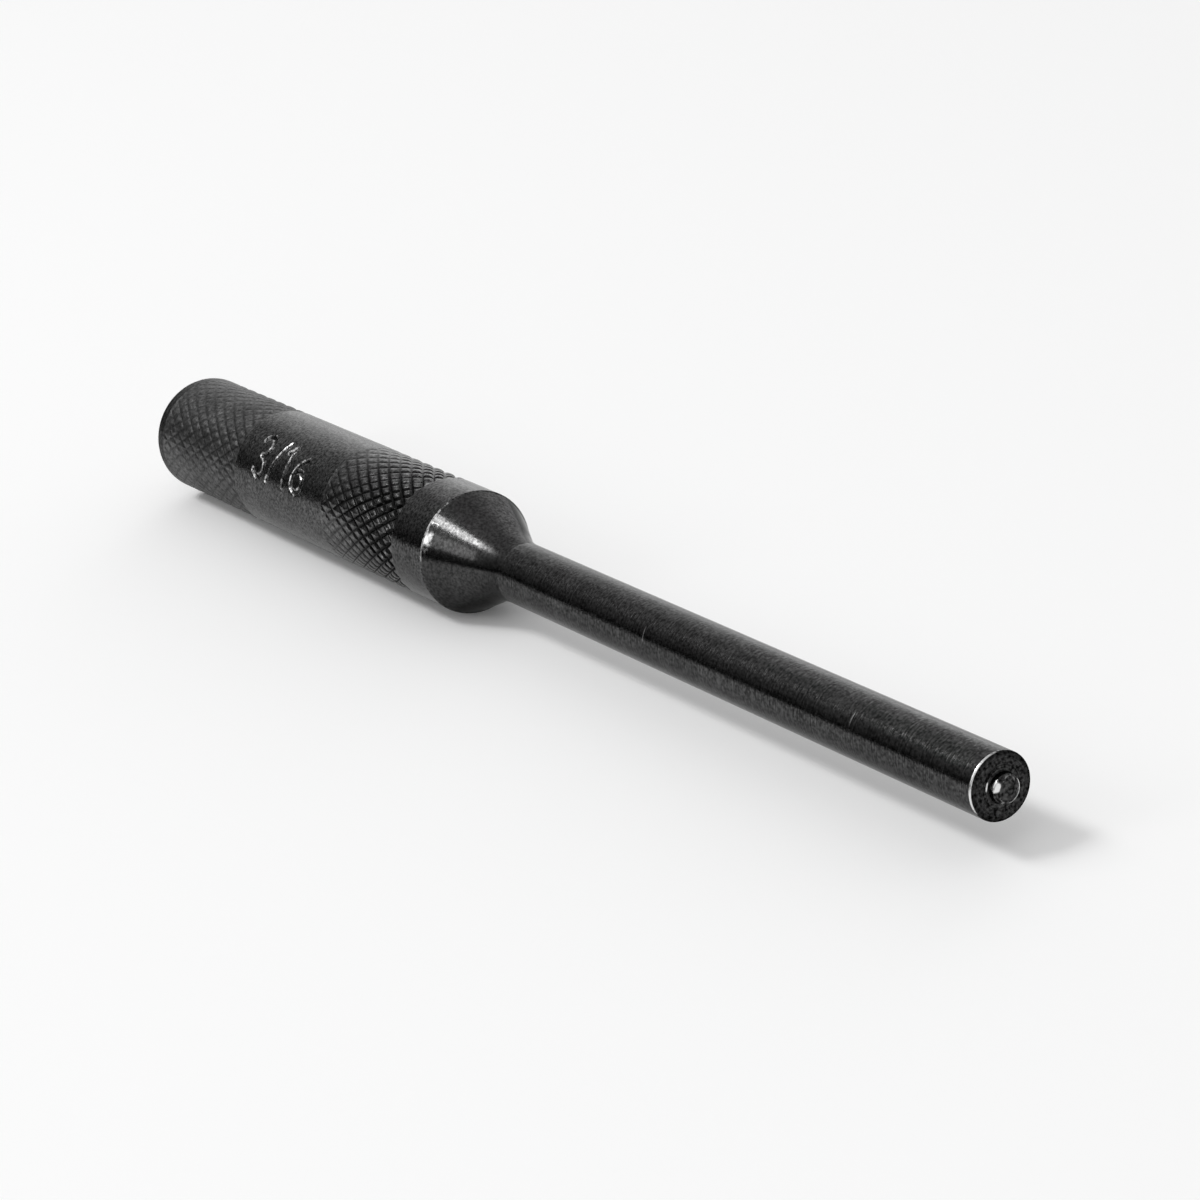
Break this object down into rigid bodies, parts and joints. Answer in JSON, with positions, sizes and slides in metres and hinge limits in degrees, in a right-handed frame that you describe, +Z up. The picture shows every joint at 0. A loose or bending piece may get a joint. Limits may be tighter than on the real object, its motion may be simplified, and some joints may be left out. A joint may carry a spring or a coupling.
{
  "type": "pilot punch",
  "caption": "Steel pilot punch for hollow spring pins, with a knurled handle, a tapered shoulder, a straight shank and a small pilot nub.",
  "frame": {"origin": "on the surface that the punch lies on, below the middle of its length", "axes": "+X along the axis towards the pilot nub, +Z up, the handle resting on Z = 0"},
  "size_m": [0.115, 0.0096, 0.0095],
  "materials": {
    "oxide_satin": "black oxide on ground steel, oiled, satin",
    "oxide_knurl": "black oxide over a rolled diamond knurl, lands rubbed slightly brighter",
    "oxide_turned": "black oxide on turned steel, fine tool marks",
    "oxide_worn": "black oxide rubbed thin by use, scratched"
  },
  "bodies": {
    "root": {"striking_head": "oxide_satin", "rear_knurl": "oxide_knurl", "size_band": "oxide_satin", "front_knurl": "oxide_knurl", "collar": "oxide_satin", "shoulder": "oxide_turned", "shank": "oxide_satin", "driving_tip": "oxide_turned", "pilot_nub": "oxide_worn"}
  },
  "joints": []
}
